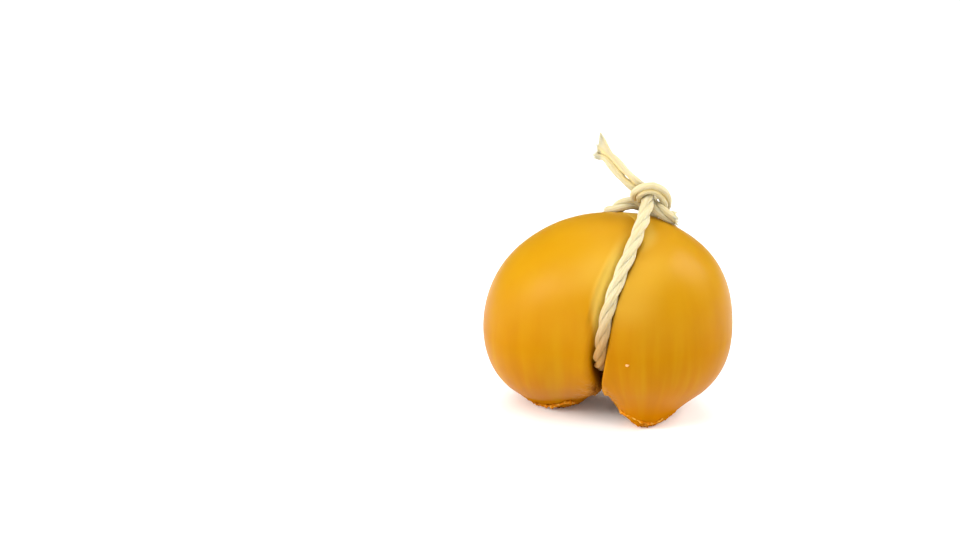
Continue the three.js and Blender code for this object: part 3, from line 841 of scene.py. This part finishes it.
def plies(line, radius, loose, splay, slit, slant):
    """Three plies laid round a middle line, each as its rings, its places for the fibres and its creases.
    Where the cord is loose they lie side by side without twist. The splay fans them out, the slit parts
    the upper one from the others, and the slant tilts the rings towards a slanted cut."""
    run = along(line)
    ahead, across, over = carried_frame(line)
    turn = np.linspace(0, 2 * np.pi, PLY_SIDES, endpoint=False)
    twist = FIRST_PLY + 2 * np.pi * np.maximum(run - UNTWISTED, 0) / TWIST_PITCH
    share = between((PLY_SHARE, LOOSE_SHARE), loose)
    offset = radius * (1 - share) * (1 + SLIT_PARTS * slit)
    thin = between((1, SPLAY_THIN), splay)[:, None]
    fibres_round = PLY_SHARE * CORD_RADIUS / FIBRE_MM
    laid = []
    for ply in range(3):
        phase = twist + 2 * np.pi * ply / 3 + loose * PLY_CLOSES[ply]
        ribs = 1 + RIB_HEIGHT * np.sin(RIB_COUNT * turn + 2 * np.pi * run[:, None] / RIB_PITCH + ply)
        ply_radius = (share * radius * (1 - SLIT_THINS * slit))[:, None] * ribs
        spread = between((1, SPLAY_SPREAD[ply]), splay)
        swell = between((1, SPLAY_SWELL[ply]), splay)[:, None]
        rise = (spread * offset * np.sin(phase))[:, None] + swell * ply_radius * np.sin(turn)
        aslant = thin * ((offset * np.cos(phase))[:, None] + ply_radius * np.cos(turn))
        lead = -slant[:, None] * rise
        rings = (line[:, None] + aslant[..., None] * across[:, None] + rise[..., None] * over[:, None]
                 + lead[..., None] * ahead[:, None])
        girth = np.stack(np.broadcast_arrays(np.cos(turn), np.sin(turn), run[:, None]), -1)
        girth = girth * (fibres_round, fibres_round, 1 / FIBRE_LENGTH_MM)
        # Painted light: the sides of each ply that face the cord's middle get the brighter crease colour.
        inward = -np.cos(turn - phase[:, None])
        creases = CREASE_LIGHT_SHARE * ease(CREASE_SIDES, inward[:, ::-1])
        laid.append((rings[:, ::-1], girth[:, ::-1] + (0, 0, PLY_SHIFT * ply), creases))
    return laid


def frayed(end_ring, inner_ring, lengths):
    """Tapered fibres that come out of a ply's cut end, in the same form as the plies: each starts inside
    the ply and runs on with it, fanning away from the ply's middle and bending a little at random."""
    middle = end_ring.mean(0)
    outward = middle - inner_ring.mean(0)
    outward /= np.linalg.norm(outward)
    side = np.cross(outward, FRAY_SIDE_GUIDE)
    side /= np.linalg.norm(side)
    turn = np.linspace(0, 2 * np.pi, FRAY_SIDES, endpoint=False)
    spokes = np.cos(turn)[:, None] * side + np.sin(turn)[:, None] * np.cross(outward, side)
    t = np.linspace(0, 1, FRAY_STEPS)[:, None]
    made = []
    for _ in range(FRAY_COUNT):
        rim = end_ring[random.integers(len(end_ring))] - middle
        share = np.sqrt(random.uniform(0.0, FRAY_EDGE))
        past = random.uniform(*lengths)
        bend = random.normal(0.0, FRAY_BEND, 3)
        fan = FRAY_FAN * share * rim / np.linalg.norm(rim)
        path = middle + share * rim + outward * (past * t - FRAY_INSIDE * (1 - t))
        path = path + (fan * t + bend * t**2) * past
        rings = path[:, None] + (FRAY_RADIUS * (1 - FRAY_TAPER * t))[:, None] * spokes
        girth = np.broadcast_to(random.uniform(0, FRAY_SHIFT, 3), rings.shape)
        made.append((rings, girth, np.zeros(rings.shape[:2])))
    return made


tail_line, tail_radius = strand_line([(LONG_END_TIP, TAIL_NECK), (LONG_END + LONG_END_TUCK, TAIL_RADIUS)])
tail_run = along(tail_line)
tail_loose = np.ones(len(tail_line))
tail_splay = ease((SPLAY_LENGTH, 0.0), tail_run)
tail_slit = ease((SLIT_HALF, 0.0), np.abs(tail_run - SLIT_PLACE))
tail_plies = plies(tail_line, tail_radius, tail_loose, tail_splay, tail_slit, LONG_CUT_SLANT * tail_splay)
main_line, main_radius = strand_line(cord_route())
main_run = along(main_line)
main_loose = ease((UNTWISTED, LOOSE_UNTIL * UNTWISTED), main_run)
unsplayed = np.zeros(len(main_line))
short_cut = SHORT_CUT_SLANT * ease((SHORT_CUT_LENGTH, 0.0), main_run[-1] - main_run)
main_plies = plies(main_line, main_radius, main_loose, unsplayed, unsplayed, short_cut)
tubes = tail_plies + main_plies
for rings, *_ in tail_plies:
    tubes = tubes + frayed(rings[0], rings[FRAY_BACK_STEPS], FRAY_LONG_END)
for rings, *_ in main_plies:
    tubes = tubes + frayed(rings[-1], rings[-1 - FRAY_BACK_STEPS], FRAY_SHORT_END)
skins = []
faces = []
lays = []
creases = []
start = 0
# Each tube brings its share of painted crease light.
for rings, girth, crease_lighting in tubes:
    skin, skin_faces = closed_skin(rings)
    skins.append(skin)
    faces += [start + block for block in skin_faces]
    lays += [girth[:1, 0], girth.reshape(-1, 3), girth[-1:, 0]]
    creases += [crease_lighting[:1, 0], crease_lighting.ravel(), crease_lighting[-1:, 0]]
    start += len(skin)
points = np.concatenate(skins)
cord = new_piece("cord_plies", points, faces, twine, lay=np.concatenate(lays),
                 crease=np.concatenate(creases), stain=ease(GROOVE_SHADE_Z, points[:, 2]))
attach(cord, "root")
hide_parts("cord")


# Stage: a plain white floor under soft studio light, seen from the front, a little to the right and from
# above. The camera is aimed beside the cheese and rolled a little, so that the cheese stands upright in
# its place. Sizes and places here are in metres.
FLOOR_SIZE = 8.0
FLOOR_WHITE = "#fafaf9"
FLOOR_GLOW = 0.04
VIEW_AZIMUTH = np.radians(10.0)
VIEW_ELEVATION = np.radians(22.0)
VIEW_DISTANCE = 1.0
VIEW_AIM = (-0.05108, 0.01107, 0.04895)
VIEW_ROLL = np.radians(-0.97)
VIEW_REACH = 50.0
SENSOR_MM = 36.0
MM_PER_PIXEL = 0.3815
FRAME_WIDTH = 960
ROOM_WHITE = (1.0, 1.0, 1.0, 1.0)
ROOM_LIGHT = 0.14

# White paper sweep: uncoated, so it is matt and mirrors nothing, and lit so evenly that it seems to glow.
white_paper = bpy.data.materials.new("white_paper_sweep")
white_paper.use_nodes = True
shader = white_paper.node_tree.nodes["Principled BSDF"]
shader.inputs["Base Color"].default_value = linear(FLOOR_WHITE)
shader.inputs["Roughness"].default_value = 0.8
shader.inputs["Specular IOR Level"].default_value = 0.0
shader.inputs["Emission Color"].default_value = linear(FLOOR_WHITE)
shader.inputs["Emission Strength"].default_value = FLOOR_GLOW
half = FLOOR_SIZE / 2 / MM
corners = np.array([(-half, -half, 0), (half, -half, 0), (half, half, 0), (-half, half, 0)])
floor = new_piece("floor", corners, [np.array([[0, 1, 2, 3]])], white_paper)


def from_angles(azimuth, elevation, distance):
    """A place at a distance from the origin: the azimuth turns from the front towards +X."""
    level = np.cos(elevation)
    return distance * Vector((np.sin(azimuth) * level, -np.cos(azimuth) * level, np.sin(elevation)))


camera_data = bpy.data.cameras.new("camera")
camera_data.sensor_width = SENSOR_MM
camera_data.lens = SENSOR_MM * VIEW_DISTANCE / (FRAME_WIDTH * MM_PER_PIXEL * MM)
camera_data.clip_end = VIEW_REACH
camera = bpy.data.objects.new("camera", camera_data)
camera.location = from_angles(VIEW_AZIMUTH, VIEW_ELEVATION, VIEW_DISTANCE)
aimed = (Vector(VIEW_AIM) - camera.location).to_track_quat("-Z", "Y")
camera.rotation_euler = (aimed @ Quaternion((0, 0, 1), VIEW_ROLL)).to_euler()
bpy.context.scene.collection.objects.link(camera)
bpy.context.scene.camera = camera

world = bpy.data.worlds.new("studio")
world.use_nodes = True
world.node_tree.nodes["Background"].inputs["Color"].default_value = ROOM_WHITE
world.node_tree.nodes["Background"].inputs["Strength"].default_value = ROOM_LIGHT
bpy.context.scene.world = world
# Softboxes: azimuth and elevation in degrees, distance and size in metres, power in watts, and whether
# the waxy skin mirrors it. The fills are kept out of reflections, so that they light without a sheen.
LIGHTS = {
    "softbox_left": (-57, 25, 1.0, 0.32, 4.8, True),
    "softbox_left_low": (-78, 14, 1.0, 0.5, 3.5, False),
    "softbox_left_high": (-40, 45, 1.0, 0.7, 5.5, True),
    "softbox_right": (104, 38, 1.0, 0.5, 7.8, True),
    "softbox_front": (12, 30, 1.2, 0.35, 2.7, False),
    "softbox_front_right": (48, 35, 1.2, 0.5, 4.4, False),
    "softbox_top": (0, 85, 1.0, 1.0, 3.7, False),
    "softbox_backdrop": (187, 60, 1.2, 0.8, 5.5, False),
}
LIGHT_AIM = (0, 0, 0.04)
for label, (azimuth, elevation, distance, size, power, mirrored) in LIGHTS.items():
    light = bpy.data.lights.new(label, "AREA")
    light.size = size
    light.energy = power
    lamp = bpy.data.objects.new(label, light)
    lamp.location = from_angles(np.radians(azimuth), np.radians(elevation), distance)
    lamp.rotation_euler = (Vector(LIGHT_AIM) - lamp.location).to_track_quat("-Z", "Y").to_euler()
    lamp.visible_glossy = mirrored
    bpy.context.scene.collection.objects.link(lamp)
bpy.context.scene.view_settings.view_transform = "Standard"
